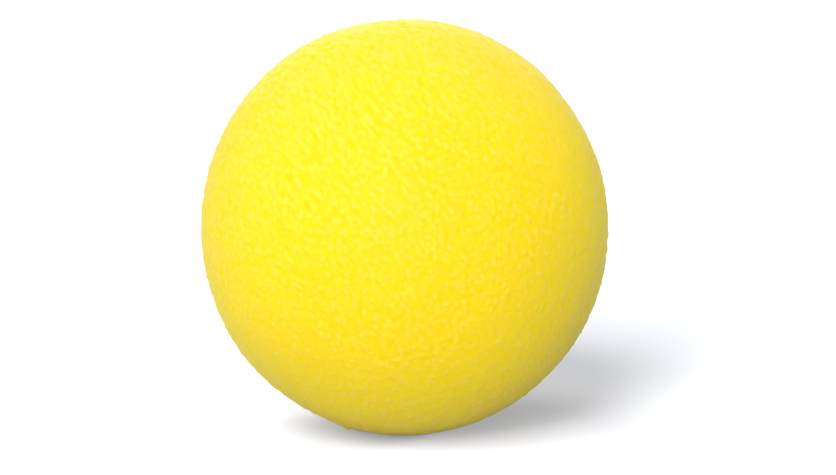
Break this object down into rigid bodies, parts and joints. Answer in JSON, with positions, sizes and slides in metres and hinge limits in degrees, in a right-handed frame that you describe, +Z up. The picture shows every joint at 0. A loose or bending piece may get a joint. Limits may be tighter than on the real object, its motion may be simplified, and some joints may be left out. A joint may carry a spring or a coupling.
{
  "type": "foam tennis ball",
  "caption": "Soft yellow foam ball, ground round from bonded plies of open-cell foam, with a small flat where it settles; for learning tennis and for play indoors.",
  "frame": {"origin": "centre of the flat that the ball settles on", "axes": "+Z up through the ball's centre, the longer axis of the slightly out-of-round ball; -Y towards the front ply and the picture's camera; +X to the camera's right"},
  "size_m": [0.0882, 0.0882, 0.0896],
  "materials": {
    "yellow_foam": "matte open-cell polyurethane foam, ground round, with bare cut cells",
    "dried_adhesive": "satin dried contact adhesive, amber"
  },
  "bodies": {
    "root": {"front_foam_half": "yellow_foam", "rear_foam_half": "yellow_foam", "glue_film": "dried_adhesive"}
  },
  "joints": []
}
